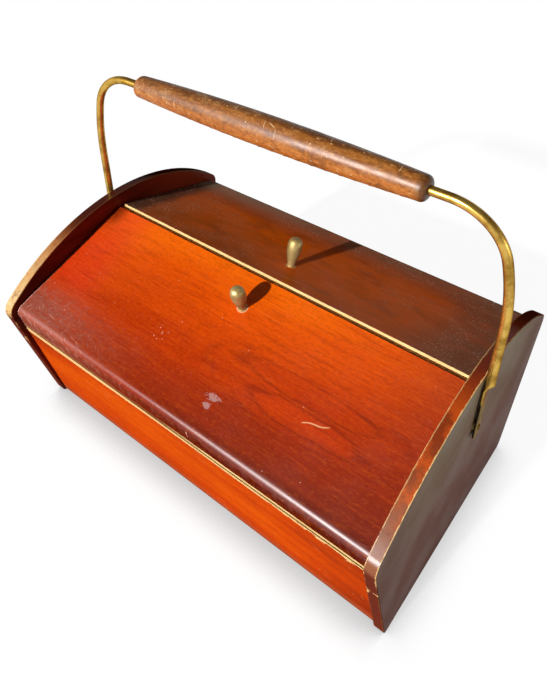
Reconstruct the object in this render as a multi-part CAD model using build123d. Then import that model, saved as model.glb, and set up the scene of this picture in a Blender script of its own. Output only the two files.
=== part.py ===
from build123d import *
from math import atan, cos, degrees, radians, sin, tan
import os

# Sewing carrier with two lids.
#
# A plywood case stands between two arched end panels. Two bent lids meet at a ridge and open
# outwards on pins in the end panels, and close onto a rest block under each end of the ridge. A
# bail of two brass tubes and a turned grip swings on a screw through each end panel.
#
# X runs along the case, the front faces -Y and Z is up. The origin lies on the floor at the middle
# of the case. Lengths are in millimetres and angles in degrees. "Outward" is away from the middle
# of the case, towards the front or the back.

# End panels
case_length = 400.0          # over the outer faces of both end panels
panel_thickness = 9.0
panel_height = 201.0         # floor to the crown of the arch
shoulder_height = 144.3      # floor to the corner where the arch meets the straight edge
foot_depth = 225.2           # front to back on the floor
shoulder_depth = 306.0       # front to back over the shoulders
shoulder_radius = 14.0
foot_radius = 6.0
band_thickness = 1.0         # veneer strip glued along the panel's edge
band_joint_height = 99.0     # where the arched strip meets the straight one

# Walls and bottom
wall_thickness = 6.0
wall_recess = 6.9            # from the panel's edge to the wall's outer face, level with the shoulders
wall_foot_recess = 3.0       # the same at the floor
wall_lift = 2.2              # floor to the wall's lower edge
wall_top_height = 119.0
bottom_thickness = 5.0
bottom_lift = 5.0            # floor to the underside of the bottom board

# Lids
lid_thickness = 6.0
lid_slope = 16.7
lid_apex_height = 187.4      # where the two lids' outer planes would cross
ridge_gap = 2.0              # between the lids' lower corners at the ridge
seam_gap = 1.2               # between a wall's top edge and the lid above it
nose_radius = 7.0
lid_end_clearance = 1.5      # between a lid's end and the end panel
pivot_rise = 6.0             # from a lid's lower edge up to its pivot

# Lid pivot pins
pin_diameter = 3.0
pin_seat_depth = 6.0         # in the end panel
pin_reach = 7.0              # in the lid
pin_end_gap = 0.5            # left at the bottom of each blind hole
running_clearance = 0.06     # on the radius, where a part turns on a pin or a screw
seat_clearance = 0.04        # on the radius, where a pin, a screw or a tube is fixed

# Lid rests
rest_width = 44.0
rest_side_height = 9.0
rest_thickness = 10.0
rest_clearance = 0.1         # under the closed lids

# Knobs
knob_offset = 36.5           # from the middle plane, measured level
knob_height = 29.0
knob_belly_diameter = 13.8
knob_neck_diameter = 6.2
knob_foot_diameter = 8.2
knob_foot_thickness = 0.5
knob_belly_height = 20.5
knob_screw_diameter = 3.0
knob_screw_reach = 9.0       # thread inside the knob
knob_screw_head_diameter = 6.0
knob_screw_head_height = 2.0

# Handle
pivot_height = 142.8
handle_radius = 196.5        # pivot to the grip's axis
handle_lean = 1.7            # forward of upright, where friction holds it
tube_diameter = 7.2
tube_wall = 1.0
tube_stand_off = 0.5         # between the tube and the end panel's outer face
lower_bend_radius = 220.0
lower_bend_angle = 15.0
upper_bend_radius = 46.0
tongue_width = 10.0          # flattened end of the tube
tongue_thickness = 2.2
tongue_rise = 44.0           # above the pivot
tongue_drop = 12.0           # below the pivot
tongue_corner_radius = 3.0
flattening_length = 7.0      # from the flat tongue to the round tube
grip_length = 276.0
grip_middle_diameter = 26.5
grip_end_diameter = 19.5
grip_end_rounding = 5.0
grip_bore_depth = 32.0
tube_end_gap = 1.0           # left at the bottom of the grip's bore

# Handle screws, washers and nuts
screw_diameter = 3.0
screw_head_diameter = 6.0
screw_head_height = 2.0
screw_tip_projection = 1.2   # beyond the nut
outer_washer_diameter = 8.4
outer_washer_thickness = 1.0
inner_washer_diameter = 7.0
inner_washer_thickness = 0.6
nut_width = 5.5              # across the flats
nut_thickness = 2.4

# Worked out from the sizes above
half_length = case_length / 2
panel_inner_x = half_length - panel_thickness
lid_half_length = panel_inner_x - lid_end_clearance
panel_taper = (shoulder_depth - foot_depth) / 2 / shoulder_height
wall_taper = panel_taper - (wall_recess - wall_foot_recess) / shoulder_height
wall_lean = degrees(atan(wall_taper))
lid_lower_height = wall_top_height + seam_gap
lid_pivot_height = lid_lower_height + pivot_rise
tongue_inner_x = half_length + outer_washer_thickness
tongue_middle_x = tongue_inner_x + tongue_thickness / 2
tube_x = half_length + tube_stand_off + tube_diameter / 2

FRONT, BACK = -1, 1
LEFT, RIGHT = -1, 1
depth_sides = {"front": FRONT, "back": BACK}
length_sides = {"left": LEFT, "right": RIGHT}


def panel_edge(height):
    """Distance from the middle plane to an end panel's straight edge."""
    return foot_depth / 2 + height * panel_taper


def wall_face(height):
    """Distance from the middle plane to the outer face of a wall, and of the lid's drop above it."""
    return foot_depth / 2 - wall_foot_recess + height * wall_taper


def level_width(thickness):
    """Level measure across a board that leans with the walls."""
    return thickness / cos(radians(wall_lean))


def lid_plane(distance, depth=0.0):
    """Height of the lid's outer plane, or of a plane this deep below it, at a distance outward."""
    slope = radians(lid_slope)
    return lid_apex_height - distance * tan(slope) - depth / cos(slope)


def wall_and_lid_corner(depth):
    """Where the lid's plane and the leaning plane cross, both this deep below their outer faces."""
    foot = wall_face(0) - level_width(depth)
    rise = tan(radians(wall_lean))
    fall = tan(radians(lid_slope))
    distance = (foot + rise * lid_plane(0, depth)) / (1 + rise * fall)
    return distance, lid_plane(distance, depth)


def lid_pivot():
    """Outward distance and height of a lid's pivot, in the middle of the lid's drop."""
    distance = wall_face(lid_pivot_height) - level_width(lid_thickness / 2)
    return distance, lid_pivot_height


def rod(radius, start_x, end_x, y=0.0, z=0.0):
    """Round bar along X."""
    return Pos(start_x, y, z) * extrude(Plane.YZ * Circle(radius), end_x - start_x)


def board(outline, half_span):
    """Board with its outline in the YZ plane, as long to the left as to the right."""
    return extrude(Plane.YZ * outline, half_span, both=True)


def polygon(points, side=BACK):
    """Face from (outward, height) points, on the front or the back of the middle plane."""
    return make_face(Polyline([(side * outward, height) for outward, height in points], close=True))


# --- End panels ---------------------------------------------------------------------------------

def edge_outline(inset):
    """Leaning trapezium under one arc, drawn in by inset along its edges, cut off at the floor."""
    below = foot_radius + band_thickness
    shoulder = (shoulder_depth / 2, shoulder_height)
    foot = (panel_edge(-below), -below)
    far_foot, far_shoulder = [(-y, z) for y, z in (foot, shoulder)]
    straight = Polyline(shoulder, foot, far_foot, far_shoulder)
    arch = ThreePointArc(far_shoulder, (0, panel_height), shoulder)
    outline = make_face([*straight.edges(), *arch.edges()])
    outline = fillet(outline.vertices().sort_by(Axis.Y)[-2:], shoulder_radius)
    if inset:
        outline = offset(outline, -inset)
    above_floor = Pos(0, panel_height / 2) * Rectangle(2 * shoulder_depth, panel_height)
    return outline & above_floor


def panel_outline():
    """Finished outline of an end panel with its edge strips."""
    outline = edge_outline(0)
    return fillet(outline.vertices().sort_by(Axis.Y)[:2], foot_radius)


def core_outline():
    """Outline of an end panel without its edge strips."""
    return edge_outline(band_thickness) & panel_outline()


def panel_slab(outline, side):
    """An outline in the YZ plane, as thick as an end panel and in its place."""
    start_x = panel_inner_x if side == RIGHT else -half_length
    return Pos(start_x, 0, 0) * extrude(Plane.YZ * outline, panel_thickness)


def end_panel(side):
    """Plywood end panel, with blind holes for the lid pins and a hole for the handle's screw."""
    panel = panel_slab(core_outline(), side)
    distance, height = lid_pivot()
    hole_radius = pin_diameter / 2 + seat_clearance
    hole_end = panel_inner_x + pin_seat_depth + pin_end_gap
    for depth_side in depth_sides.values():
        panel -= rod(hole_radius, side * panel_inner_x, side * hole_end, depth_side * distance, height)
    screw_radius = screw_diameter / 2 + seat_clearance
    return panel - rod(screw_radius, side * panel_inner_x, side * half_length, 0, pivot_height)


def edge_bands(side):
    """The three strips along a panel's edge: one over the arch and two straight ones below it."""
    ring = panel_slab(panel_outline(), side) - panel_slab(core_outline(), side)
    below = Box(2 * case_length, 2 * shoulder_depth, band_joint_height)
    below = Pos(0, 0, band_joint_height / 2) * below
    straight = (ring & below).solids().sort_by(Axis.Y)
    return {"arched": ring - below, "front": straight[0], "back": straight[-1]}


# --- Case ---------------------------------------------------------------------------------------

def case_wall(side):
    """Leaning plywood wall between the end panels."""
    thickness = level_width(wall_thickness)
    lower, upper = wall_face(wall_lift), wall_face(wall_top_height)
    outline = [(lower, wall_lift), (upper, wall_top_height),
               (upper - thickness, wall_top_height), (lower - thickness, wall_lift)]
    return board(polygon(outline, side), panel_inner_x)


def bottom_board():
    """Bottom between the walls, with its long edges bevelled to their lean."""
    top = bottom_lift + bottom_thickness
    lower_half, upper_half = [wall_face(height) - level_width(wall_thickness)
                              for height in (bottom_lift, top)]
    outline = [(lower_half, bottom_lift), (upper_half, top), (-upper_half, top), (-lower_half, bottom_lift)]
    return board(polygon(outline), panel_inner_x)


def lid_rest(side):
    """Block on an end panel, with two sloping faces that carry both lids at the ridge."""
    half_width = rest_width / 2
    depth = lid_thickness + rest_clearance
    side_top = lid_plane(half_width, depth)
    bottom = side_top - rest_side_height
    outline = [(0, lid_plane(0, depth)), (half_width, side_top), (half_width, bottom),
               (-half_width, bottom), (-half_width, side_top)]
    start_x = panel_inner_x - rest_thickness if side == RIGHT else -panel_inner_x
    return Pos(start_x, 0, 0) * extrude(Plane.YZ * polygon(outline), rest_thickness)


def lid_pin(side, depth_side):
    """Pin fixed in an end panel, on which a lid turns."""
    distance, height = lid_pivot()
    outer_end = side * (panel_inner_x + pin_seat_depth)
    inner_end = side * (lid_half_length - pin_reach)
    return rod(pin_diameter / 2, inner_end, outer_end, depth_side * distance, height)


# --- Lids ---------------------------------------------------------------------------------------

def knob_plane(side):
    """Plane on a lid's outer face under its knob, with Z square to the lid."""
    slope = radians(lid_slope)
    foot = (0, side * knob_offset, lid_plane(knob_offset))
    return Plane(foot, x_dir=(1, 0, 0), z_dir=(0, side * sin(slope), cos(slope)))


def lid(side):
    """Bent lid: a slope from the ridge, a rounded nose, and a drop in line with the wall below."""
    slope = radians(lid_slope)
    ridge_lower = (ridge_gap / 2, lid_plane(ridge_gap / 2, lid_thickness))
    ridge_upper = (ridge_lower[0] + lid_thickness * sin(slope), ridge_lower[1] + lid_thickness * cos(slope))
    outer_foot = wall_face(lid_lower_height)
    inner_foot = outer_foot - level_width(lid_thickness)
    outer_nose, inner_nose = wall_and_lid_corner(0), wall_and_lid_corner(lid_thickness)
    outline = polygon([ridge_upper, outer_nose, (outer_foot, lid_lower_height),
                       (inner_foot, lid_lower_height), inner_nose, ridge_lower], side)
    for corner, radius in ((outer_nose, nose_radius), (inner_nose, nose_radius - lid_thickness)):
        at = Vector(side * corner[0], corner[1])
        outline = fillet(outline.vertices().sort_by_distance(at)[0], radius)
    bent = board(outline, lid_half_length)
    distance, height = lid_pivot()
    hole_end = lid_half_length - pin_reach - pin_end_gap
    hole_radius = pin_diameter / 2 + running_clearance
    for end in length_sides.values():
        bent -= rod(hole_radius, end * hole_end, end * half_length, side * distance, height)
    screw_hole = Cylinder(knob_screw_diameter / 2 + seat_clearance, 4 * lid_thickness)
    return bent - knob_plane(side).location * screw_hole


def knob(side):
    """Turned drop-shaped knob on a thin disc, with a blind hole for its screw."""
    foot, neck, belly = knob_foot_diameter / 2, knob_neck_diameter / 2, knob_belly_diameter / 2
    disc = Polyline((0, 0), (foot, 0), (foot, knob_foot_thickness), (neck, knob_foot_thickness))
    taper = (belly - neck, knob_belly_height - knob_foot_thickness)
    stem = Spline((neck, knob_foot_thickness), (belly, knob_belly_height), tangents=[taper, (0, 1)])
    crown = Spline((belly, knob_belly_height), (0, knob_height), tangents=[(0, 1), (-1, 0)])
    axis = Line((0, knob_height), (0, 0))
    outline = make_face([*disc.edges(), *stem.edges(), *crown.edges(), *axis.edges()])
    turned = revolve(Plane.XZ * outline, Axis.Z)
    depth = knob_screw_reach + pin_end_gap
    hole = Pos(0, 0, depth / 2) * Cylinder(knob_screw_diameter / 2 + seat_clearance, depth)
    return knob_plane(side).location * (turned - hole)


def domed_screw(shank_radius, shank_length, head_radius, head_height):
    """Screw with a domed head above Z = 0 and its shank below."""
    dome_radius = (head_radius ** 2 + head_height ** 2) / (2 * head_height)
    dome = Pos(0, 0, head_height - dome_radius) * Sphere(dome_radius)
    head = dome & (Pos(0, 0, head_height / 2) * Cylinder(head_radius, head_height))
    shank = Pos(0, 0, -shank_length / 2) * Cylinder(shank_radius, shank_length)
    return head + shank


def knob_screw(side):
    """Screw from inside a lid into its knob."""
    screw = domed_screw(knob_screw_diameter / 2, lid_thickness + knob_screw_reach,
                        knob_screw_head_diameter / 2, knob_screw_head_height)
    return knob_plane(side).location * Pos(0, 0, -lid_thickness) * Rot(180, 0, 0) * screw


# --- Handle -------------------------------------------------------------------------------------

def round_tube():
    """Round part of the right arm: straight, a long easy bend, a tight bend, then the grip's bore."""
    turn = radians(lower_bend_angle)
    bends_rise = lower_bend_radius * sin(turn) + upper_bend_radius * (1 - sin(turn))
    start = (tube_x, tongue_rise + flattening_length)
    straight = Line(start, (tube_x, handle_radius - bends_rise))
    easy = JernArc(straight @ 1, (0, 1), lower_bend_radius, lower_bend_angle)
    tight = JernArc(easy @ 1, easy % 1, upper_bend_radius, 90 - lower_bend_angle)
    bore_bottom = grip_length / 2 - grip_bore_depth
    level = Line(tight @ 1, (bore_bottom + tube_end_gap, handle_radius))
    path = Plane.XZ * Wire([*straight.edges(), *easy.edges(), *tight.edges(), *level.edges()])
    ring = Circle(tube_diameter / 2) - Circle(tube_diameter / 2 - tube_wall)
    return sweep(Pos(tube_x, 0, start[1]) * ring, path=path)


def flat_tongue():
    """Lower end of the right arm: the tube pressed flat, with rounded corners and the screw's hole."""
    flat = SlotOverall(tongue_width, tongue_thickness, rotation=90)
    flat_end = Pos(tongue_middle_x, 0, tongue_rise) * flat
    round_end = Pos(tube_x, 0, tongue_rise + flattening_length) * Circle(tube_diameter / 2)
    flattening = loft([flat_end, round_end])
    length = tongue_rise + tongue_drop
    side_view = Pos(0, (tongue_rise - tongue_drop) / 2) * Rectangle(tongue_width, length)
    side_view = fillet(side_view.vertices().sort_by(Axis.Y)[:2], tongue_corner_radius)
    rounded = board(side_view, tongue_inner_x + tongue_thickness)
    tongue = extrude(Pos(tongue_middle_x, 0, -tongue_drop) * flat, length) & rounded
    hole = rod(screw_diameter / 2 + running_clearance, tongue_inner_x, tongue_inner_x + tongue_thickness)
    return flattening + (tongue - hole)


def handle_place():
    """From the handle's own upright frame, with its pivot at the origin, to its place at rest."""
    return Pos(0, 0, pivot_height) * Rot(handle_lean, 0, 0)


def handle_arm(side):
    """Brass tube from a pivot, over its bends, into the grip."""
    arm = round_tube() + flat_tongue()
    if side == LEFT:
        arm = mirror(arm, Plane.YZ)
    return handle_place() * arm


def handle_grip():
    """Turned wooden grip, thickest in the middle, with a bore for a tube in each end."""
    half, middle, end = grip_length / 2, grip_middle_diameter / 2, grip_end_diameter / 2
    swell = ThreePointArc((-half, end), (0, middle), (half, end))
    axis_side = Polyline((half, end), (half, 0), (-half, 0), (-half, end))
    outline = make_face([*swell.edges(), *axis_side.edges()])
    outline = fillet(outline.vertices().group_by(Axis.Y)[-1], grip_end_rounding)
    grip = revolve(Plane.XZ * outline, Axis.X)
    for side in length_sides.values():
        grip -= rod(tube_diameter / 2 + seat_clearance, side * (half - grip_bore_depth), side * half)
    return handle_place() * Pos(0, 0, handle_radius) * grip


def handle_screw(side):
    """Screw from outside through the tongue and the end panel."""
    head_seat = tongue_inner_x + tongue_thickness
    nut_end = panel_inner_x - inner_washer_thickness - nut_thickness
    screw = domed_screw(screw_diameter / 2, head_seat - nut_end + screw_tip_projection,
                        screw_head_diameter / 2, screw_head_height)
    return Pos(side * head_seat, 0, pivot_height) * Rot(0, side * 90, 0) * screw


def drilled_disc(outline, thickness, start_x, side):
    """Flat washer or nut on a handle screw, from start_x away from the middle of the case."""
    disc = extrude(outline - Circle(screw_diameter / 2 + seat_clearance), thickness)
    return Pos(side * start_x, 0, pivot_height) * Rot(0, side * 90, 0) * disc


def outer_washer(side):
    return drilled_disc(Circle(outer_washer_diameter / 2), outer_washer_thickness, half_length, side)


def inner_washer(side):
    start_x = panel_inner_x - inner_washer_thickness
    return drilled_disc(Circle(inner_washer_diameter / 2), inner_washer_thickness, start_x, side)


def nut(side):
    start_x = panel_inner_x - inner_washer_thickness - nut_thickness
    hexagon = RegularPolygon(nut_width / 2, 6, major_radius=False)
    return drilled_disc(hexagon, nut_thickness, start_x, side)


# --- All the pieces -----------------------------------------------------------------------------

def all_pieces():
    """Every piece by its name."""
    pieces = {"bottom_board": bottom_board(), "handle_grip": handle_grip()}
    for name, side in length_sides.items():
        pieces[f"end_panel_{name}"] = end_panel(side)
        for strip, band in edge_bands(side).items():
            pieces[f"{strip}_edge_band_{name}"] = band
        pieces[f"lid_rest_{name}"] = lid_rest(side)
        pieces[f"handle_arm_{name}"] = handle_arm(side)
        pieces[f"handle_screw_{name}"] = handle_screw(side)
        pieces[f"handle_outer_washer_{name}"] = outer_washer(side)
        pieces[f"handle_inner_washer_{name}"] = inner_washer(side)
        pieces[f"handle_nut_{name}"] = nut(side)
        for depth_name, depth_side in depth_sides.items():
            pieces[f"{depth_name}_lid_pin_{name}"] = lid_pin(side, depth_side)
    for name, side in depth_sides.items():
        pieces[f"{name}_wall"] = case_wall(side)
        pieces[f"{name}_lid"] = lid(side)
        pieces[f"{name}_knob"] = knob(side)
        pieces[f"{name}_knob_screw"] = knob_screw(side)
    return pieces


os.makedirs("parts", exist_ok=True)
for name, piece in all_pieces().items():
    piece.label = name
    export_step(piece, f"parts/{name}.step")
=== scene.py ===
import math

import bpy
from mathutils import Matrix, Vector

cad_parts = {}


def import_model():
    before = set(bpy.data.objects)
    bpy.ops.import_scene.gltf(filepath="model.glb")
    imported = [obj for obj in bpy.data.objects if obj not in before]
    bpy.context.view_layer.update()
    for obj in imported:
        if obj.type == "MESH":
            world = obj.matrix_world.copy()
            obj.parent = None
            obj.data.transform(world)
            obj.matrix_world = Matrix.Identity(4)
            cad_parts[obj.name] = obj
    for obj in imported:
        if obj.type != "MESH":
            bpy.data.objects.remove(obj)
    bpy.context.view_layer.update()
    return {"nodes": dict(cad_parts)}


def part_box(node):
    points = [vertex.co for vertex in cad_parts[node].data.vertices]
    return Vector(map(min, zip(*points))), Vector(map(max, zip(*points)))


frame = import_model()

# Every solid of the object comes from the frame. This script gives them materials, which go by the place
# on the object and the way a face looks, and adds the floor, the lamps, the world and the camera.
# Places are in metres: X runs along the case, the front is -Y, and Z is up.

nodes = frame["nodes"]

PANEL_INNER_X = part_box("end_panel_right")[0][0]
PANEL_OUTER_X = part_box("end_panel_right")[1][0]
WALL_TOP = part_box("front_wall")[1][2]
SEAM_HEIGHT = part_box("front_lid")[0][2]      # the lower rim of a closed lid's drop
RIDGE_HEIGHT = 0.1874                        # where the lids' outer planes would meet
LID_SLOPE = math.radians(16.7)
KNOB_DOWN = 0.0381                           # from the ridge down a lid to the middle of its knob
BAND_JOINT_HEIGHT = 0.1000                   # about where an arched edge band meets the straight ones
TONGUE_TOP = 0.176                          # the arms' pressed tongues lie below it: dulled, with painted shade on their side faces
GRIP_AXIS_HEIGHT = 0.3393                    # with the handle upright
GRIP_RADIUS = 0.012                          # about the mean of its thick middle and its thinner ends


# ---------------------------------------------------------------- node trees

def paint(red, green, blue):
    """The linear colour of an sRGB triple from 0 to 255."""
    def linear(value):
        value = value / 255
        return value / 12.92 if value <= 0.04045 else ((value + 0.055) / 1.055) ** 2.4
    return (linear(red), linear(green), linear(blue), 1.0)


WHITE = paint(255, 255, 255)


class Graph:
    """The node tree of a new material or world, built from its inputs to its surface."""

    def __init__(self, owner):
        owner.use_nodes = True
        self.owner = owner
        self.tree = owner.node_tree
        self.tree.nodes.clear()

    def node(self, kind, inputs=(), **settings):
        """Adds a node, with plain values or other nodes' outputs as its inputs."""
        made = self.tree.nodes.new(kind)
        for key, value in settings.items():
            setattr(made, key, value)
        for key, value in dict(inputs).items():
            if isinstance(value, bpy.types.NodeSocket):
                self.tree.links.new(value, made.inputs[key])
            else:
                made.inputs[key].default_value = value
        return made

    # numbers

    def maths(self, operation, *values):
        return self.node("ShaderNodeMath", enumerate(values), operation=operation).outputs[0]

    def chain(self, operation, first, *others):
        """Takes the values in one after another."""
        for other in others:
            first = self.maths(operation, first, other)
        return first

    def plus(self, *values):
        return self.chain("ADD", *values)

    def minus(self, value, other):
        return self.maths("SUBTRACT", value, other)

    def times(self, *values):
        return self.chain("MULTIPLY", *values)

    def greatest(self, *values):
        return self.chain("MAXIMUM", *values)

    def least(self, *values):
        return self.chain("MINIMUM", *values)

    def unsigned(self, value):
        return self.maths("ABSOLUTE", value)

    def wave(self, value, radians_per_unit):
        return self.maths("SINE", self.times(value, radians_per_unit))

    def swing(self, noise, size):
        """A noise from 0 to 1 as a push either way, by half that size at most."""
        return self.times(self.minus(noise, 0.5), size)

    def step(self, value, low, high, bottom=0.0, top=1.0):
        """Runs smoothly from bottom to top while value goes from low to high."""
        inputs = {0: value, 1: low, 2: high, 3: bottom, 4: top}
        return self.node("ShaderNodeMapRange", inputs, interpolation_type="SMOOTHSTEP").outputs[0]

    # vectors

    def vector(self, operation, *values):
        made = self.node("ShaderNodeVectorMath", enumerate(values), operation=operation)
        scalar = operation in ("DOT_PRODUCT", "LENGTH", "DISTANCE")
        return made.outputs["Value" if scalar else "Vector"]

    def scaled(self, vector, *factors):
        return self.vector("MULTIPLY", vector, factors)

    def towards(self, facing, *direction):
        """The cosine between a face's own direction and another one."""
        return self.vector("DOT_PRODUCT", facing, direction)

    def parts(self, vector):
        made = self.node("ShaderNodeSeparateXYZ", {0: vector})
        return made.outputs[0], made.outputs[1], made.outputs[2]

    def joined(self, x, y, z):
        return self.node("ShaderNodeCombineXYZ", {0: x, 1: y, 2: z}).outputs[0]

    def place(self):
        """The point on the object at rest."""
        return self.node("ShaderNodeTexCoord").outputs["Object"]

    def facing(self):
        """The direction that the surface faces, on the object at rest."""
        return self.node("ShaderNodeTexCoord").outputs["Normal"]

    # colours

    def mix(self, factor, first, second):
        inputs = {0: factor, 6: first, 7: second}
        return self.node("ShaderNodeMix", inputs, data_type="RGBA", blend_type="MIX").outputs[2]

    def tinted(self, colour, *layers):
        """Mixes tints in, one over another. A layer is (value, low, high, strength, tint): its tint comes
        in while value goes from low to high, up to that strength."""
        for value, low, high, strength, tint in layers:
            colour = self.mix(self.step(value, low, high, 0.0, strength), colour, tint)
        return colour

    def ramp(self, value, *stops):
        """A colour for each value, through stops of (value, colour)."""
        made = self.node("ShaderNodeValToRGB", {0: value})
        elements = made.color_ramp.elements
        while len(elements) < len(stops):
            elements.new(0.5)
        for element, (position, colour) in zip(elements, stops):
            element.position = position
            element.color = colour
        return made.outputs[0]

    # patterns

    def noise(self, vector, scale, detail=3.0, roughness=0.5, distortion=0.0):
        inputs = {"Vector": vector, "Scale": scale, "Detail": detail}
        inputs.update({"Roughness": roughness, "Distortion": distortion})
        return self.node("ShaderNodeTexNoise", inputs).outputs[0]

    def three_noises(self, vector, scale):
        """Three noises at once, as a vector about zero."""
        made = self.node("ShaderNodeTexNoise", {"Vector": vector, "Scale": scale, "Detail": 1.0})
        return self.vector("SUBTRACT", made.outputs[1], (0.5, 0.5, 0.5))

    def streaks(self, vector, along, across, detail=4.0, shift=0.0, roughness=0.55):
        """Noise drawn out along the first coordinate, with features of about those sizes in metres."""
        drawn = self.scaled(vector, 1 / along, 1 / across, 1 / across)
        moved = self.vector("ADD", drawn, (shift, shift * 1.7, shift * 0.6))
        return self.noise(moved, 1.0, detail, roughness)

    def specks(self, vector, cell, radius, share, shift=0.0):
        """Spots in the first two coordinates, one at most in each cell of that size, 1 inside and 0
        outside. Cells that aren't square draw the spots out. The radius is a share of the cell, and share
        is how many of the cells have a spot."""
        in_cells = self.vector("DIVIDE", vector, (*cell, 1.0))
        moved = self.vector("ADD", in_cells, (shift, shift * 0.7, 0.0))
        cells = self.node("ShaderNodeTexVoronoi", {"Vector": moved, "Scale": 1.0}, voronoi_dimensions="2D")
        spot = self.step(cells.outputs["Distance"], radius * 0.6, radius, 1.0, 0.0)
        chance = self.parts(cells.outputs["Color"])[0]
        return self.times(spot, self.step(chance, share * 0.5, share, 1.0, 0.0))

    def scratch_layer(self, vector, angle, length, width, share, shift=0.0):
        """Fine scratches, a little bent, that lie at about that angle to the first coordinate. They are
        long and thin specks."""
        wander = self.scaled(self.three_noises(vector, 55.0), 0.004, 0.004, 0.0)
        inputs = {"Vector": self.vector("ADD", vector, wander), "Angle": angle}
        turned = self.node("ShaderNodeVectorRotate", inputs, rotation_type="Z_AXIS").outputs[0]
        radius = 0.04
        return self.specks(turned, (length / radius / 2, width / radius / 2), radius, share, shift)

    def scratches(self, vector, *layers):
        """Layers of scratches, each with its (angle, length, width, share, shift)."""
        return self.greatest(*[self.scratch_layer(vector, *layer) for layer in layers])

    # surfaces

    def gloss(self, level):
        """A specular level that fades where the surface turns edge-on, as on dull old lacquer."""
        turned = self.node("ShaderNodeLayerWeight", {"Blend": 0.5}).outputs["Facing"]
        return self.step(turned, 0.22, 0.62, level, 0.0)

    def relief(self, fine, vector, scale=80.0, size=1.2):
        """The grain's height, on a board that is a little wavy."""
        return self.plus(fine, self.times(self.noise(vector, scale, detail=2.0), size))

    def surface(self, colour, roughness, height, depth, strength, **inputs):
        """Ends the tree in a Principled shader, and gives the material."""
        bump = self.node("ShaderNodeBump", {"Strength": strength, "Distance": depth, "Height": height})
        values = {"Base Color": colour, "Roughness": roughness, "Normal": bump.outputs[0]}
        values.update({key.replace("_", " "): value for key, value in inputs.items()})
        shader = self.node("ShaderNodeBsdfPrincipled", values)
        self.node("ShaderNodeOutputMaterial", {0: shader.outputs[0]})
        return self.owner


def material_graph(name):
    return Graph(bpy.data.materials.new(name))


def dress(material, *names):
    """Gives CAD nodes the material, in every slot they have."""
    for name in names:
        data = nodes[name].data
        if not data.materials:
            data.materials.append(material)
        for index in range(len(data.materials)):
            data.materials[index] = material


# ---------------------------------------------------------------- lids

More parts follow.
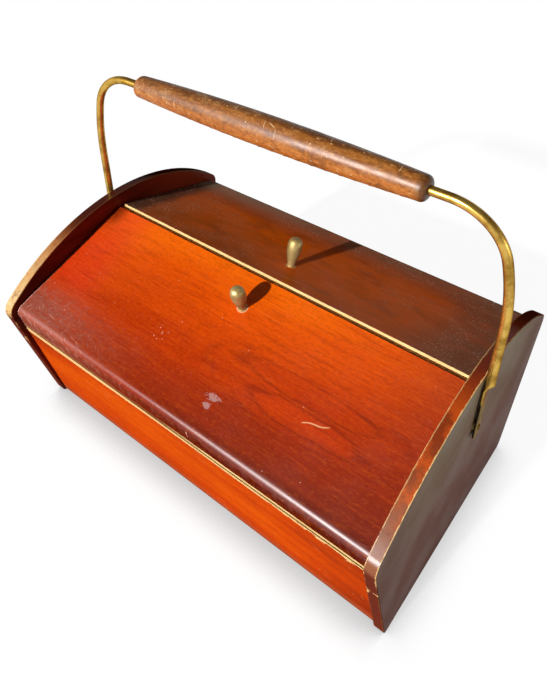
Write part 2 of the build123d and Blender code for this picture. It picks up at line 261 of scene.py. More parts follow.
class Lid(Graph):
    """A lid's tree. Its places are x, along the ridge, down, from the ridge along the slope, and off, out
    from the slope's outer face. For each other face of the lid it has a value that is 1 there."""

    PLY_WAVE = 4200.0        # radians per metre, for layers 1.5 mm apart

    def __init__(self, name, side):
        super().__init__(bpy.data.materials.new(name))
        self.x, y, self.z = self.parts(self.place())
        drop = self.minus(RIDGE_HEIGHT, self.z)
        out = self.times(y, side)
        run, rise = math.cos(LID_SLOPE), math.sin(LID_SLOPE)
        self.down = self.plus(self.times(out, run), self.times(drop, rise))
        self.off = self.minus(self.times(out, rise), self.times(drop, run))
        self.spot = self.joined(self.x, self.down, self.off)
        self.flat = self.joined(self.x, self.down, 0.0)

        facing = self.facing()
        halfway = math.radians(45) + LID_SLOPE / 2    # between the outward directions of slope and drop
        outwards = self.towards(facing, 0.0, side * math.sin(halfway), math.cos(halfway))
        ridgewards = self.step(self.towards(facing, 0.0, -side * run, rise), 0.75, 0.90)
        downwards = self.step(self.towards(facing, 0.0, 0.0, -1.0), 0.86, 0.95)
        by_ridge = self.step(self.down, 0.0036, 0.0032)
        by_seam = self.step(self.z, SEAM_HEIGHT + 0.0004, SEAM_HEIGHT + 0.0002)
        self.end_face = self.step(self.unsigned(self.parts(facing)[0]), 0.6, 0.9)
        self.inner_face = self.step(outwards, -0.45, -0.58)
        self.ridge_face = self.times(ridgewards, by_ridge)
        self.seam_face = self.times(downwards, by_seam)

    def oval(self, x, down, half_length, half_height):
        """How far a point lies from the middle of an oval, as a share of the way to its rim."""
        away = self.vector("SUBTRACT", self.flat, (x, down, 0.0))
        return self.vector("LENGTH", self.vector("DIVIDE", away, (half_length, half_height, 1.0)))

    def near(self, x, down, outer, inner, strength=1.0):
        """That strength within the inner radius round a point on the lid, and 0 beyond the outer one."""
        return self.step(self.vector("DISTANCE", self.flat, (x, down, 0.0)), outer, inner, 0.0, strength)

    def knob_ring(self, strength):
        """A pale ring of worn lacquer round the knob's foot."""
        return self.near(0.0, KNOB_DOWN, 0.0056, 0.0048, strength)

    def dull_inside(self, rough, level):
        """The roughness and the specular level, with bare wood on the inner face."""
        rough = self.greatest(rough, self.times(self.inner_face, 0.64))
        return rough, self.times(level, self.step(self.inner_face, 0.0, 1.0, 1.0, 0.30))

    def sawn_wood(self, shift):
        """Pale wood, and the same with the layers that a sawn edge shows."""
        grain = self.streaks(self.spot, 0.010, 0.0006, detail=3.0, shift=shift)
        pale = self.mix(self.step(grain, 0.3, 0.7), paint(252, 220, 158), paint(238, 190, 116))
        layers = self.wave(self.off, self.PLY_WAVE)
        return pale, self.tinted(pale, (layers, 0.55, 0.95, 0.30, paint(176, 112, 60)))

    def with_edges(self, outer, fine, shift, rubbed):
        """Adds wear along the outer face's rims, the inner face in plain wood, and the sawn edges. By the
        ridge the outer face is rubbed through, or else painted dark as the shade in the gap between the
        lids."""
        pale, sawn = self.sawn_wood(shift)
        ragged = self.streaks(self.spot, 0.020, 0.006, detail=4.0, shift=shift + 3.0, roughness=0.7)
        rim = self.plus(self.down, self.swing(ragged, 0.0014))
        # rubbed: pale wood by the ridge; otherwise a dark band there, painted shade of the gap between the
        # lids
        ridge_wear_and_shade = (0.0011, 0.0007, 0.98, pale) if rubbed else (0.0042, 0.0034, 0.98, paint(14, 4, 2))
        colour = self.tinted(outer, (rim, *ridge_wear_and_shade))
        # the lower rim is rubbed through, most of all on the right
        low = self.minus(self.plus(self.z, self.times(ragged, 0.0024)), SEAM_HEIGHT)
        worn = self.times(self.step(low, 0.0058, 0.0050), self.step(self.x, -0.02, 0.06, 0.10, 0.90))
        colour = self.mix(worn, colour, pale)
        plain = self.mix(self.step(fine, 0.3, 0.7), paint(182, 118, 64), paint(146, 86, 44))
        colour = self.mix(self.inner_face, colour, plain)
        colour = self.mix(self.end_face, colour, self.mix(0.55, sawn, paint(120, 48, 20)))
        return self.mix(self.greatest(self.ridge_face, self.seam_face), colour, sawn)


def front_stain(g):
    """Orange by the ridge and red-brown by the nose. The left end is redder, with the left panel's shadow
    painted dark in its upper corner, and the right end, the nose and the drop are darker."""
    broad = g.streaks(g.spot, 0.150, 0.013, detail=3.0, shift=3.1)
    whole_reach = 0.180
    reach = g.plus(
        g.down,
        g.swing(g.noise(g.spot, 9.0, detail=2.0), 0.040),
        g.step(g.x, 0.00, 0.16, 0.0, 0.024),
        g.step(g.x, -0.04, -0.15, 0.0, -0.012),
        g.swing(broad, 0.045),
    )
    stain = g.ramp(
        g.maths("DIVIDE", reach, whole_reach),
        (0.06, paint(252, 106, 2)), (0.20, paint(234, 84, 1)), (0.40, paint(218, 71, 1)),
        (0.55, paint(200, 58, 2)), (0.70, paint(172, 47, 6)), (0.95, paint(132, 38, 12)),
    )
    red_end = g.times(g.step(g.x, -0.120, -0.165, 0.0, 0.50), g.step(g.down, 0.120, 0.090))
    stain = g.mix(red_end, stain, paint(236, 50, 22))
    stain = g.tinted(
        stain,
        (g.x, 0.120, 0.190, 0.48, paint(132, 40, 22)),
        (g.down, 0.1495, 0.1560, 0.88, paint(48, 9, 4)),
    )
    nose = g.times(g.step(g.down, 0.1380, 0.1490), g.step(g.x, -0.080, 0.060, 0.0, 0.60))
    stain = g.mix(nose, stain, paint(60, 10, 5))
    # painted shadow of the left end panel, in the lid's corner by the ridge
    panel_shadow_corner = g.times(g.step(g.x, -0.168, -0.186), g.step(g.down, 0.040, 0.012, 0.0, 0.75))
    return g.mix(panel_shadow_corner, stain, paint(60, 14, 4))


def cathedral_figure(g, stain, fine):
    """In the lid's right half the grain draws two long lobes, one above the other, inside a wider one."""
    bend = g.swing(g.noise(g.spot, 30.0, detail=5.0, roughness=0.62), 0.75)
    upper = g.plus(g.oval(0.090, 0.0755, 0.062, 0.0095), bend)
    lower = g.plus(g.oval(0.103, 0.0975, 0.054, 0.0095), bend)
    wide = g.plus(g.oval(0.096, 0.086, 0.074, 0.023), bend)
    from_rim = g.unsigned(g.minus(g.least(upper, lower), 1.0))
    rims = g.times(g.step(from_rim, 0.20, 0.02), g.step(fine, 0.35, 0.60, 0.16, 0.48))
    ripples = g.times(
        g.step(g.wave(wide, 16.0), 0.3, 1.0),
        g.step(wide, 2.2, 1.0, 0.0, 0.20),
        g.step(wide, 0.85, 1.0),
    )
    stain = g.tinted(
        stain,
        (upper, 1.0, 0.6, 0.30, paint(196, 54, 4)),
        (lower, 1.3, 0.5, 0.46, paint(228, 68, 5)),
    )
    return g.mix(g.greatest(rims, ripples), stain, paint(112, 24, 3))


def front_grain(g, stain, fine):
    """Dark pores, and flames, fine streaks and mottling, dark in one place and bright in another."""
    flame = g.streaks(g.spot, 0.030, 0.0042, detail=4.0, shift=5.7, roughness=0.6)
    pores = g.streaks(g.spot, 0.006, 0.00045, detail=2.0, shift=1.9, roughness=0.6)
    mottled = g.noise(g.scaled(g.spot, 1.0, 1.8, 1.0), 260.0, detail=4.0, roughness=0.7)
    return g.tinted(
        stain,
        (flame, 0.50, 0.70, 0.26, paint(140, 30, 3)),
        (flame, 0.46, 0.32, 0.12, paint(250, 100, 8)),
        (fine, 0.50, 0.72, 0.32, paint(116, 22, 3)),
        (fine, 0.46, 0.30, 0.15, paint(255, 112, 10)),
        (pores, 0.58, 0.70, 0.34, paint(84, 16, 3)),
        (mottled, 0.50, 0.68, 0.22, paint(110, 22, 4)),
        (mottled, 0.48, 0.34, 0.12, paint(255, 128, 20)),
    )


def nose_haze(g):
    """Dusty haze above the nose, most of it on the left."""
    dusty = g.noise(g.scaled(g.spot, 1.0, 3.0, 1.0), 120.0, detail=5.0, roughness=0.8)
    return g.times(
        g.step(g.down, 0.098, 0.135),
        g.step(g.x, -0.02, -0.18, 0.04, 1.0),
        g.step(dusty, 0.40, 0.62, 0.22, 0.66),
    )


def nose_rub_and_highlight(g, scuffed):
    """Pale rubbing and a painted highlight where the nose turns into the drop, most of it on the left."""
    return g.times(
        g.step(g.down, 0.1500, 0.1570),
        g.step(g.z, 0.1290, 0.1370),
        g.step(scuffed, 0.45, 0.62),
        g.step(g.x, -0.02, -0.16, 0.22, 1.0),
    )


def front_marks(g):
    """Scratches, most of them near the lower left corner, specks, and a few flecks in one place."""
    corner = g.times(g.step(g.down, 0.095, 0.140), g.step(g.x, -0.04, -0.15))
    everywhere = g.scratches(
        g.spot,
        (0.10, 0.012, 0.00030, 0.60, 2.0),
        (0.9, 0.006, 0.00028, 0.60, 5.0),
        (-0.7, 0.005, 0.00028, 0.60, 9.0),
    )
    corner_layers = (
        (2.2, 0.005, 0.00032, 0.95, 12.0),
        (0.5, 0.004, 0.00032, 0.95, 14.0),
        (1.3, 0.009, 0.00036, 0.95, 17.0),
        (-0.2, 0.014, 0.00036, 0.95, 19.0),
    )
    crowded = [g.times(corner, g.scratch_layer(g.spot, *layer)) for layer in corner_layers]
    faint, strong = 0.14, 0.80
    scratched = g.times(g.greatest(everywhere, *crowded), g.plus(faint, g.times(corner, strong)))
    large = g.times(g.specks(g.spot, (0.034, 0.034), 0.017, share=0.42, shift=4.3), 0.80)
    small = g.times(g.specks(g.spot, (0.013, 0.013), 0.022, share=0.30, shift=8.1), 0.40)
    flecks = g.specks(g.spot, (0.0045, 0.0045), 0.14, share=0.50, shift=2.6)
    return g.greatest(scratched, large, small, g.times(g.near(-0.048, 0.096, 0.009, 0.006), flecks))


def pale_blotch(g):
    """A torn blotch right of the middle, with a drip below it."""
    torn = g.swing(g.noise(g.spot, 330.0, detail=4.0, roughness=0.7), 3.2)
    blotch = g.oval(0.0305, 0.1185, 0.0072, 0.0034)
    drip = g.oval(0.0300, 0.1265, 0.0040, 0.0030)
    return g.step(g.plus(g.least(blotch, drip), torn), 1.00, 0.62, 0.0, 0.62)


def curved_scratch(g):
    """One wavy scratch in the lower lobe of the figure."""
    middle_x, middle_down = 0.1120, 0.0935
    along = g.minus(g.x, middle_x)
    wave = g.times(g.wave(along, 260.0), 0.0012)
    track = g.plus(middle_down, g.minus(wave, g.times(along, 0.46)))
    on_track = g.step(g.unsigned(g.minus(g.down, track)), 0.0009, 0.0003)
    return g.times(on_track, g.step(g.unsigned(along), 0.0108, 0.0088, 0.0, 0.85))


def front_lid():
    g = Lid("front_lid_mahogany", -1)
    fine = g.streaks(g.spot, 0.034, 0.0012, detail=5.0, shift=7.4, roughness=0.65)
    stain = front_grain(g, cathedral_figure(g, front_stain(g), fine), fine)

    scuffed = g.noise(g.joined(g.x, g.times(g.down, 3.0), 0.0), 160.0, detail=5.0, roughness=0.75)
    haze, rub_and_highlight, marks = nose_haze(g), nose_rub_and_highlight(g, scuffed), front_marks(g)
    left_rim = g.times(
        g.step(g.x, -0.1878, -0.1892),
        g.step(g.down, 0.05, 0.14, 0.0, 0.75),
        g.step(scuffed, 0.35, 0.55),
    )
    for mask, colour in (
        (haze, paint(152, 98, 80)),
        # pale rubbing and a painted highlight along the nose's bend
        (rub_and_highlight, paint(222, 158, 146)),
        (marks, paint(240, 172, 150)),
        (pale_blotch(g), paint(208, 164, 160)),
        (curved_scratch(g), paint(250, 186, 130)),
        (g.knob_ring(0.75), paint(240, 190, 150)),
        (left_rim, paint(232, 178, 160)),
    ):
        stain = g.mix(mask, stain, colour)

    colour = g.with_edges(stain, fine, 2.2, rubbed=False)
    smears = g.noise(g.spot, 30.0, detail=4.0, roughness=0.6)
    rough = g.plus(
        g.step(smears, 0.35, 0.70, 0.30, 0.40),
        g.times(haze, 0.45),
        g.times(g.greatest(marks, rub_and_highlight), 0.3),
    )
    shine = g.plus(g.step(g.x, -0.040, 0.160, 0.30, 1.0), g.step(g.x, -0.080, -0.170, 0.0, 0.45))
    rough, shine = g.dull_inside(rough, g.times(g.gloss(0.40), shine))
    height = g.relief(fine, g.spot)
    dress(g.surface(colour, rough, height, 0.00008, 0.25, Specular_IOR_Level=shine), "front_lid")


def back_stain(g, fine):
    """Orange, brightest halfway down, with a grey-brown right end, a left end painted dark as the left
    panel's shadow, and cloudy patches.
    """
    broad = g.streaks(g.spot, 0.150, 0.013, detail=3.0, shift=13.1)
    clouds = g.noise(g.scaled(g.spot, 1.0, 1.6, 1.0), 24.0, detail=5.0, roughness=0.62, distortion=0.4)
    slope_length = 0.150
    stain = g.ramp(
        g.plus(g.maths("DIVIDE", g.down, slope_length), g.swing(broad, 0.5)),
        (0.05, paint(196, 86, 2)), (0.35, paint(220, 94, 2)), (0.55, paint(238, 100, 4)),
        (0.80, paint(206, 84, 12)), (1.0, paint(174, 82, 36)),
    )
    return g.tinted(
        stain,
        (g.x, 0.110, 0.190, 0.75, paint(116, 70, 40)),
        # painted shadow of the left end panel
        (g.x, -0.162, -0.178, 0.90, paint(40, 15, 6)),
        (fine, 0.50, 0.74, 0.40, paint(80, 26, 5)),
        (fine, 0.46, 0.30, 0.18, paint(236, 104, 14)),
        (clouds, 0.48, 0.68, 0.32, paint(104, 34, 10)),
        (clouds, 0.48, 0.32, 0.34, paint(240, 98, 24)),
    )


def dust_spread(g):
    """How thick the dust lies: in patches, at both ends and towards the nose."""
    patches = g.step(g.noise(g.spot, 10.0, detail=3.0, roughness=0.6), 0.42, 0.64)
    ends = g.greatest(g.step(g.x, -0.080, -0.170), g.step(g.x, 0.110, 0.175))
    return g.greatest(g.times(patches, 0.5), g.greatest(ends, g.step(g.down, 0.080, 0.145)))


def back_lid():
    g = Lid("back_lid_mahogany", 1)
    fine = g.streaks(g.spot, 0.034, 0.0012, detail=5.0, shift=17.4, roughness=0.65)
    fibres = g.scratches(g.spot, (0.05, 0.022, 0.00040, 0.9, 21.0), (-0.08, 0.030, 0.00036, 0.9, 23.0))
    left_half = g.times(g.step(g.down, 0.030, 0.060), g.step(g.x, 0.02, -0.05))
    spread = dust_spread(g)
    grains = g.step(g.noise(g.spot, 420.0, detail=4.0, roughness=0.75), 0.52, 0.64)
    clumps = g.step(g.noise(g.spot, 22.0, detail=5.0, roughness=0.7), 0.44, 0.60, 0.05, 0.80)
    marks = g.greatest(
        g.scratches(
            g.spot,
            (0.14, 0.026, 0.00036, 0.60, 2.0),
            (0.8, 0.008, 0.00030, 0.50, 6.0),
            (-0.12, 0.060, 0.00060, 0.45, 9.0),
        ),
        g.specks(g.spot, (0.020, 0.020), 0.026, share=0.42, shift=8.0),
    )
    stain = back_stain(g, fine)
    for mask, colour in (
        (g.times(fibres, g.plus(0.12, g.times(left_half, 0.45))), paint(246, 176, 140)),
        (g.times(spread, 0.26), paint(150, 112, 92)),
        (g.times(grains, g.times(spread, clumps)), paint(222, 186, 160)),
        (g.times(g.step(g.down, 0.105, 0.146), g.step(g.x, 0.02, -0.15, 0.16, 0.60)), paint(176, 150, 126)),
        (g.times(marks, 0.55), paint(238, 190, 160)),
        (g.knob_ring(0.5), paint(228, 176, 110)),
    ):
        stain = g.mix(mask, stain, colour)

    colour = g.with_edges(stain, fine, 6.2, rubbed=True)
    smears = g.noise(g.spot, 30.0, detail=4.0)
    rough = g.plus(g.step(smears, 0.30, 0.70, 0.30, 0.46), g.times(spread, 0.15))
    rough, shine = g.dull_inside(rough, g.gloss(0.45))
    height = g.relief(fine, g.spot)
    dress(g.surface(colour, rough, height, 0.00010, 0.30, Specular_IOR_Level=shine), "back_lid")


front_lid()
back_lid()


# ---------------------------------------------------------------- walls, panels and bands

def wall_stain(g, x, z, along, fine, bright, middle, dark, shift):
    """Darker towards the floor, the right end, the top and, most of all, the upper left corner."""
    broad = g.streaks(along, 0.150, 0.012, detail=3.0, shift=shift)
    tone = g.plus(
        g.step(z, 0.060, 0.004, 0.15, 0.50),
        g.swing(broad, 0.9),
        g.step(x, 0.08, 0.19, 0.0, 0.42),
        g.step(z, 0.098, 0.112, 0.0, 0.22),
        g.swing(g.noise(along, 16.0), 0.9),
        g.times(g.step(x, -0.090, -0.180), g.step(z, 0.070, 0.094, 0.05, 0.50)),
    )
    mottled = g.noise(g.scaled(along, 1.0, 1.8, 1.0), 150.0, detail=5.0, roughness=0.72)
    return g.tinted(
        g.ramp(tone, (0.0, bright), (0.45, middle), (1.0, dark)),
        (fine, 0.50, 0.74, 0.32, dark),
        (fine, 0.46, 0.30, 0.18, bright),
        (mottled, 0.50, 0.66, 0.30, paint(130, 44, 22)),
        (mottled, 0.46, 0.34, 0.10, bright),
        (z, 0.0200, 0.0060, 0.45, paint(160, 92, 58)),
        (z, 0.0060, 0.0030, 0.6, paint(120, 44, 14)),
    )


def wall_rim(g, x, z, along, stain, shift):
    """The upper rim is rubbed to pale wood, more so at the right, with a dark line painted over it in the
    seam as the shade of the gap under the lid.
    """
    ragged = g.streaks(along, 0.012, 0.004, detail=4.0, shift=shift + 8.0, roughness=0.7)
    lift = g.swing(ragged, g.step(x, 0.04, 0.18, 0.0030, 0.0240))
    edge = g.step(x, -0.14, 0.02, WALL_TOP - 0.0092, WALL_TOP - 0.0062)
    bare = g.step(g.minus(g.plus(z, lift), edge), 0.0, 0.0006)
    grain = g.streaks(along, 0.010, 0.001, detail=3.0, shift=shift)
    cream = g.mix(grain, paint(255, 226, 160), paint(226, 160, 90))
    colour = g.mix(g.times(bare, 0.95), stain, cream)
    # painted shade: the gap under the lid's drop
    seam = g.plus(z, g.step(x, -0.05, 0.08, 0.0, 0.0012))
    return g.tinted(colour, (seam, WALL_TOP - 0.0012, WALL_TOP - 0.0006, 0.9, paint(40, 14, 8)))


def wall(half, side, bright, middle, dark, shift):
    """Stained outside and plain inside."""
    g = material_graph(f"{half}_wall_mahogany")
    x, y, z = g.parts(g.place())
    along = g.joined(x, z, y)
    fine = g.streaks(along, 0.035, 0.0011, detail=5.0, shift=shift + 4.0, roughness=0.65)
    marks = g.greatest(
        g.scratches(along, (0.15, 0.010, 0.00034, 0.40, shift), (1.2, 0.010, 0.00034, 0.30, shift + 3.0)),
        g.specks(along, (0.034, 0.034), 0.020, share=0.40, shift=shift),
    )
    stain = wall_stain(g, x, z, along, fine, bright, middle, dark, shift)
    stain = g.mix(g.times(marks, 0.5), stain, paint(250, 190, 130))
    colour = wall_rim(g, x, z, along, stain, shift)
    inside = g.step(g.times(g.parts(g.facing())[1], side), -0.5, -0.8)
    colour = g.mix(inside, colour, g.mix(fine, paint(190, 130, 76), paint(150, 92, 48)))
    rough = g.step(g.noise(along, 30.0, detail=4.0), 0.3, 0.7, 0.30, 0.44)
    height = g.relief(fine, along)
    material = g.surface(colour, rough, height, 0.00010, 0.30, Specular_IOR_Level=g.gloss(0.35))
    dress(material, f"{half}_wall")


wall(
    "front", -1.0, shift=31.0,
    bright=paint(217, 85, 12), middle=paint(197, 66, 12), dark=paint(138, 43, 17),
)
wall(
    "back", 1.0, shift=57.0,
    bright=paint(220, 88, 14), middle=paint(190, 64, 10), dark=paint(132, 40, 8),
)


def end_panel(name, side):
    """Outside, red-brown low down and grey-brown higher up, a painted reflection, and dull; deep red
    inside, with painted light towards the back.
    """
    g = material_graph(f"end_panel_{name}_mahogany")
    x, y, z = g.parts(g.place())
    along = g.joined(y, z, x)
    broad = g.streaks(along, 0.090, 0.012, detail=3.0, shift=20.0 + side)
    fine = g.streaks(along, 0.030, 0.0011, detail=5.0, shift=24.0 + side, roughness=0.65)
    panel_height = 0.200
    # painted reflection: red-brown at the foot to grey-brown at the top, fading towards the front and back
    # edges
    outside = g.ramp(
        g.plus(g.maths("DIVIDE", z, panel_height), g.swing(broad, 0.26)),
        (0.0, paint(104, 48, 28)), (0.45, paint(122, 72, 48)),
        (0.72, paint(142, 108, 80)), (1.0, paint(166, 146, 116)),
    )
    outside = g.tinted(
        outside,
        (g.unsigned(y), 0.075, 0.145, 0.60, paint(112, 62, 48)),
        (fine, 0.50, 0.72, 0.32, paint(70, 42, 30)),
        (fine, 0.44, 0.28, 0.14, paint(176, 142, 112)),
    )
    scuffs = g.greatest(
        g.scratch_layer(along, 0.5, 0.010, 0.0003, share=0.4, shift=3.0),
        g.specks(along, (0.03, 0.03), 0.02, share=0.4, shift=2.0),
    )
    outside = g.mix(g.times(scuffs, 0.35), outside, paint(170, 150, 130))
    inside = g.tinted(
        g.ramp(broad, (0.30, paint(112, 30, 14)), (0.70, paint(76, 18, 8))),
        # painted light: the inner face lighter towards the back
        (y, 0.000, 0.100, 0.6, paint(150, 56, 26)),
        (fine, 0.50, 0.74, 0.4, paint(40, 8, 3)),
    )
    outer = g.step(g.times(g.parts(g.facing())[0], side), 0.3, 0.7)
    colour = g.mix(outer, inside, outside)
    smears = g.noise(along, 24.0, detail=4.0)
    rough = g.plus(g.step(smears, 0.3, 0.7, 0.30, 0.42), g.times(outer, 0.16))
    height = g.relief(fine, along, scale=70.0, size=1.0)
    dress(g.surface(colour, rough, height, 0.00010, 0.30, Specular_IOR_Level=0.04), f"end_panel_{name}")


end_panel("left", -1)
end_panel("right", 1)


def band_wear(g, place, across, y, z, rubbed_from, thinning):
    """Bare wood on an edge band: along its corners, over the front shoulder and in chips at the joint."""
    noise = g.noise(place, 130.0, detail=4.0, roughness=0.7)
    ragged = g.swing(noise, 0.0030)
    outer_corner = g.step(g.plus(across, ragged), PANEL_OUTER_X - 0.0008, PANEL_OUTER_X - 0.0003)
    inner_corner = g.times(
        g.step(g.minus(across, ragged), PANEL_INNER_X + 0.0010, PANEL_INNER_X + 0.0004, 0.0, 0.85),
        g.greatest(g.step(noise, 0.54, 0.46), g.step(y, -0.130, -0.110, 0.0, 0.6)),
    )
    worn = g.times(
        g.greatest(outer_corner, inner_corner),
        g.step(y, *rubbed_from, 0.12, 1.0),
        g.step(z, 0.118, 0.128, 0.10, 1.0),
    )
    shoulder = g.times(g.step(y, -0.060, -0.140), g.step(z, 0.134, 0.142))
    worn = g.greatest(worn, g.times(shoulder, g.step(noise, 0.72, 0.50, 0.0, thinning)))

    joint = g.plus(BAND_JOINT_HEIGHT, g.times(ragged, 1.5))
    from_joint = g.unsigned(g.minus(z, joint))
    along_joint = g.times(g.step(from_joint, 0.0018, 0.0006), g.step(g.noise(place, 300.0), 0.42, 0.54))
    by_wall = g.times(
        g.step(from_joint, 0.0070, 0.0050),
        g.step(across, PANEL_INNER_X + 0.0018, PANEL_INNER_X + 0.0012),
        g.step(g.noise(place, 420.0), 0.46, 0.56),
    )
    return g.greatest(worn, g.greatest(along_joint, by_wall))


def edge_band(name, side, bright, dark, light_from, rubbed_from, thinning):
    """The veneer strips on a panel's edge. Painted light and rubbing come in between two places in Y, and
    thinning is how much of the veneer is rubbed away over the front shoulder."""
    g = material_graph(f"edge_veneer_{name}")
    place = g.place()
    x, y, z = g.parts(place)
    around = g.joined(g.minus(y, z), x, g.plus(y, z))
    fine = g.streaks(around, 0.030, 0.0012, detail=4.0, shift=40.0 + side, roughness=0.65)
    blotches = g.noise(place, 34.0, detail=4.0, roughness=0.6)
    # painted light over the band towards the front shoulder
    painted_light = g.times(g.step(y, *light_from), g.step(z, 0.128, 0.140))
    below = g.mix(fine, paint(128, 58, 42), paint(82, 30, 20))
    colour = g.tinted(
        g.mix(painted_light, dark, bright),
        (y, -0.112, -0.134, 0.85, paint(94, 32, 16)),
        (blotches, 0.42, 0.62, 0.8, dark),
        (fine, 0.50, 0.70, 0.5, paint(66, 18, 6)),
        (z, 0.146, 0.136, 0.88, below),
    )
    bare = band_wear(g, place, g.times(x, side), y, z, rubbed_from, thinning)
    cream = g.mix(g.noise(place, 200.0), paint(255, 224, 156), paint(216, 152, 84))
    colour = g.mix(bare, colour, cream)
    rough = g.plus(g.step(blotches, 0.3, 0.7, 0.20, 0.30), g.times(fine, 0.12))
    height = g.minus(fine, bare)
    material = g.surface(colour, rough, height, 0.00016, 0.35, Specular_IOR_Level=g.gloss(0.30))
    dress(material, *[f"{part}_edge_band_{name}" for part in ("arched", "front", "back")])


# On the left band the pale wood over the front shoulder is rubbing and a painted highlight.
edge_band(
    "left", -1, bright=paint(200, 104, 40), dark=paint(74, 25, 12),
    light_from=(-0.040, -0.125), rubbed_from=(-0.050, -0.110), thinning=0.9,
)
edge_band(
    "right", 1, bright=paint(220, 88, 20), dark=paint(112, 40, 16),
    light_from=(0.010, -0.070), rubbed_from=(0.090, 0.010), thinning=0.1,
)


def plain_wood():
    """Unstained wood, for what lies inside the case."""
    g = material_graph("plain_wood")
    place = g.place()
    fine = g.streaks(place, 0.040, 0.0014, detail=5.0, shift=50.0, roughness=0.65)
    broad = g.streaks(place, 0.140, 0.014, detail=3.0, shift=52.0)
    colour = g.ramp(broad, (0.30, paint(206, 160, 104)), (0.70, paint(178, 128, 78)))
    colour = g.tinted(colour, (fine, 0.50, 0.72, 0.5, paint(132, 88, 50)))
    rough = g.step(fine, 0.3, 0.7, 0.55, 0.70)
    material = g.surface(colour, rough, fine, 0.00025, 0.4, Specular_IOR_Level=0.4)
    dress(material, "bottom_board", "lid_rest_left", "lid_rest_right")


plain_wood()


# ---------------------------------------------------------------- grip and metal

def grip():
    """Worn turned wood: shade painted dark on top and orange light from the lid painted below, with
    smudges, nicks, scratches and a dark right end.
    """
    g = material_graph("grip_wood")
    place = g.place()
    x, y, z = g.parts(place)
    facing = g.facing()
    painted_shade_top = g.towards(facing, 0.0, 0.50, 0.866)
    painted_lid_light_below = g.towards(facing, 0.0, -0.50, -0.866)
    fine = g.streaks(place, 0.022, 0.0010, detail=5.0, shift=60.0, roughness=0.7)
    broad = g.streaks(place, 0.090, 0.007, detail=3.0, shift=61.0)
    smudges = g.noise(g.scaled(place, 1.0, 2.0, 2.0), 46.0, detail=5.0, roughness=0.7)
    mottled = g.noise(g.scaled(place, 0.6, 1.0, 1.0), 420.0, detail=4.0, roughness=0.75)
    colour = g.tinted(
        g.ramp(broad, (0.25, paint(186, 120, 52)), (0.50, paint(158, 94, 36)), (0.78, paint(108, 60, 22))),
        (fine, 0.50, 0.70, 0.50, paint(92, 48, 22)),
        # painted shade on the top, and painted orange light from the lid below
        (painted_shade_top, 0.55, 0.92, 0.70, paint(84, 50, 24)),
        (painted_lid_light_below, 0.10, 0.60, 0.50, paint(206, 118, 48)),
        (smudges, 0.52, 0.64, 0.55, paint(84, 46, 22)),
        (smudges, 0.44, 0.34, 0.35, paint(206, 160, 104)),
        (mottled, 0.50, 0.64, 0.50, paint(92, 48, 18)),
        (mottled, 0.48, 0.36, 0.30, paint(222, 158, 84)),
        (x, 0.1280, 0.1365, 0.75, paint(58, 32, 14)),
    )
    turn = g.maths("ARCTAN2", y, g.minus(z, GRIP_AXIS_HEIGHT))
    around = g.joined(x, g.times(turn, GRIP_RADIUS), 0.0)
    marks = g.greatest(
        g.specks(around, (0.012, 0.008), 0.06, share=0.45, shift=3.0),
        g.scratch_layer(around, 0.3, 0.010, 0.0005, share=0.5, shift=2.0),
        g.scratch_layer(around, 1.4, 0.007, 0.0005, share=0.6, shift=7.0),
    )
    colour = g.mix(g.times(marks, 0.7), colour, paint(240, 206, 160))
    smears = g.noise(place, 60.0, detail=4.0)
    rough = g.plus(g.step(smears, 0.3, 0.7, -0.06, 0.10), g.step(x, -0.04, 0.08, 0.46, 0.32))
    height = g.minus(fine, g.times(marks, 0.8))
    dress(g.surface(colour, rough, height, 0.0002, 0.35, Specular_IOR_Level=0.25), "handle_grip")


grip()


def tongue_tarnish_and_shade(g, place, cloud, colour, rough):
    """Dulls the arms' pressed tongues, and paints their side faces nearly black as shade."""
    level = g.plus(g.parts(place)[2], g.times(cloud, 0.012))
    tongue = g.step(level, TONGUE_TOP + 0.006, TONGUE_TOP)
    shaded_flank = g.step(g.unsigned(g.parts(g.facing())[1]), 0.5, 0.8)
    colour = g.mix(g.times(tongue, 0.55), colour, paint(150, 140, 116))
    # painted shade on the tongues' side faces
    colour = g.mix(g.times(tongue, g.times(shaded_flank, 0.92)), colour, paint(30, 20, 12))
    return colour, g.plus(rough, g.times(tongue, 0.2))


def metal(name, clean, dull, spots, smoothest, roughest, metallic=1.0, edge=WHITE, tarnish_and_shade=None):
    """A metal with a cloudy patina from clean and smooth to dull and rough, dark spots, and a tint where it
    turns edge-on."""
    g = material_graph(name)
    place = g.place()
    cloud = g.noise(place, 60.0, detail=4.0, roughness=0.65)
    grime = g.noise(place, 420.0, detail=3.0, roughness=0.6)
    colour = g.mix(g.step(cloud, 0.36, 0.66), clean, dull)
    colour = g.tinted(colour, (grime, 0.62, 0.74, 0.6, spots))
    rough = g.plus(g.step(cloud, 0.3, 0.7, smoothest, roughest), g.step(grime, 0.6, 0.75, 0.0, 0.2))
    if tarnish_and_shade:
        colour, rough = tarnish_and_shade(g, place, cloud, colour, rough)
    height = g.plus(g.noise(place, 260.0), g.times(grime, 0.4))
    return g.surface(colour, rough, height, 0.00008, 0.25, Metallic=metallic, Specular_Tint=edge)


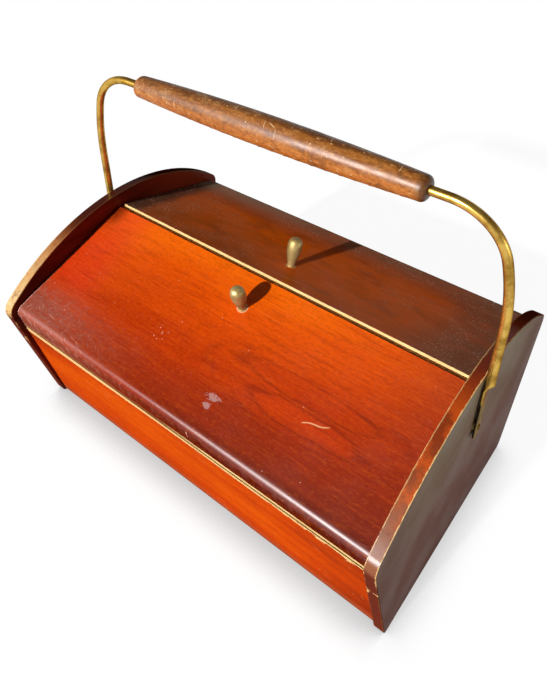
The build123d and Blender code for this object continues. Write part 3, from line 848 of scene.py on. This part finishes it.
def metals():
    """Brass for the metal that shows, and steel for what is hidden in the closed case."""
    brown_edge = paint(120, 92, 52)
    tube_brass = metal(
        "aged_brass", clean=paint(216, 176, 88), dull=paint(150, 114, 46), spots=paint(70, 50, 20),
        smoothest=0.20, roughest=0.36, metallic=0.85, edge=brown_edge, tarnish_and_shade=tongue_tarnish_and_shade,
    )
    knob_brass = metal(
        "dull_brass", clean=paint(196, 174, 118), dull=paint(152, 126, 76), spots=paint(72, 54, 28),
        smoothest=0.34, roughest=0.50, metallic=0.50, edge=brown_edge,
    )
    dark_brass = metal(
        "dark_brass", clean=paint(110, 80, 40), dull=paint(64, 44, 22), spots=paint(24, 18, 12),
        smoothest=0.40, roughest=0.60,
    )
    steel = metal(
        "dull_steel", clean=paint(190, 188, 182), dull=paint(150, 146, 140), spots=paint(90, 74, 60),
        smoothest=0.30, roughest=0.45,
    )
    for side in ("left", "right"):
        dress(tube_brass, f"handle_arm_{side}")
        dress(knob_brass, f"handle_outer_washer_{side}")
        dress(dark_brass, f"handle_screw_{side}")
        dress(steel, f"handle_inner_washer_{side}", f"handle_nut_{side}")
        dress(steel, f"front_lid_pin_{side}", f"back_lid_pin_{side}")
    dress(knob_brass, "front_knob", "back_knob")
    dress(steel, "front_knob_screw", "back_knob_screw")


metals()


# ---------------------------------------------------------------- floor, light and camera

def placed(name, data):
    """A new object in the scene."""
    made = bpy.data.objects.new(name, data)
    bpy.context.scene.collection.objects.link(made)
    return made


def background(g, lighting, shown):
    """One shader that lights the object, and another for the rays that show the background: from the
    camera, off a gloss or through glass."""
    path = g.node("ShaderNodeLightPath").outputs
    bounced = g.greatest(path["Is Glossy Ray"], path["Is Transmission Ray"])
    showing = g.greatest(path["Is Camera Ray"], bounced)
    return g.node("ShaderNodeMixShader", {0: showing, 1: lighting.outputs[0], 2: shown.outputs[0]})


def floor_material():
    """White to the eye, with a soft shadow where the object stands and a fainter one from the key lamp. It
    lights the object like a grey floor."""
    g = material_graph("pale_floor")
    plain = g.node("ShaderNodeBsdfDiffuse", {"Color": (0.50, 0.50, 0.50, 1.0)})
    shaded = g.node("ShaderNodeBsdfDiffuse", {"Color": (0.09, 0.09, 0.09, 1.0)})
    open_sky = g.node("ShaderNodeAmbientOcclusion", {"Distance": 0.05}, samples=8).outputs["AO"]
    strength = g.step(open_sky, 0.30, 0.84, 0.50, 0.94)
    painted_light = g.node("ShaderNodeEmission", {"Color": WHITE, "Strength": strength})
    white = g.node("ShaderNodeAddShader", {0: shaded.outputs[0], 1: painted_light.outputs[0]})
    g.node("ShaderNodeOutputMaterial", {0: background(g, plain, white).outputs[0]})
    return g.owner


def floor():
    data = bpy.data.meshes.new("floor")
    half = 6.0
    corners = [(-half, -half, 0), (half, -half, 0), (half, half, 0), (-half, half, 0)]
    data.from_pydata(corners, [], [(0, 1, 2, 3)])
    data.materials.append(floor_material())
    plane = placed("floor", data)
    plane.location.z = -0.0002


def world():
    """A white surround, dimmer overhead in reflections, and a soft grey light."""
    g = Graph(bpy.data.worlds.new("studio"))
    bpy.context.scene.world = g.owner
    path = g.node("ShaderNodeLightPath").outputs
    up = g.parts(g.node("ShaderNodeTexCoord").outputs["Generated"])[2]
    dimmed = g.greatest(g.step(up, 0.15, 0.65, 1.0, 0.06), path["Is Camera Ray"])
    light = g.node("ShaderNodeBackground", {"Color": WHITE, "Strength": 0.08})
    white = g.node("ShaderNodeBackground", {"Color": WHITE, "Strength": dimmed})
    g.node("ShaderNodeOutputWorld", {0: background(g, light, white).outputs[0]})


def lamp(name, kind, azimuth, elevation, energy):
    """A lamp that shines on the case. Its azimuth, in degrees, goes from the front round to the left."""
    distance, case_middle = 2, Vector((0, 0, 0.15))
    data = bpy.data.lights.new(name, kind)
    data.energy = energy
    made = placed(name, data)
    turn, lift = math.radians(azimuth), math.radians(elevation)
    back = Vector((-math.sin(turn) * math.cos(lift), -math.cos(turn) * math.cos(lift), math.sin(lift)))
    made.rotation_mode = "QUATERNION"
    made.rotation_quaternion = back.to_track_quat("Z", "Y")
    made.location = back * distance + case_middle
    made.visible_camera = False
    return made


def lamps():
    """A low key sun left of the front, a panel for highlights only, and a weak, wide sun at the right."""
    key = lamp("key", "SUN", azimuth=7, elevation=26, energy=4.05)
    key.data.angle = math.radians(2.0)
    strip = lamp("strip", "AREA", azimuth=21, elevation=27, energy=88)
    strip.data.shape = "RECTANGLE"
    strip.data.size = 0.95
    strip.data.size_y = 0.75
    strip.visible_diffuse = False
    fill = lamp("fill", "SUN", azimuth=-95, elevation=6, energy=0.45)
    fill.data.angle = math.radians(25)


def camera():
    """The camera that was fitted to the photograph."""
    data = bpy.data.cameras.new("camera")
    data.sensor_width = 36.0
    data.lens = 36.452
    data.shift_x = 0.08924
    data.shift_y = -0.22745
    data.clip_start = 0.01
    data.clip_end = 50.0
    eye = placed("camera", data)
    eye.location = (0.290561, -0.394314, 0.605316)
    eye.rotation_mode = "XYZ"
    eye.rotation_euler = [math.radians(angle) for angle in (56.47904, 2.12529, 40.52382)]
    bpy.context.scene.camera = eye


floor()
world()
lamps()
camera()
bpy.context.scene.view_settings.view_transform = "Standard"
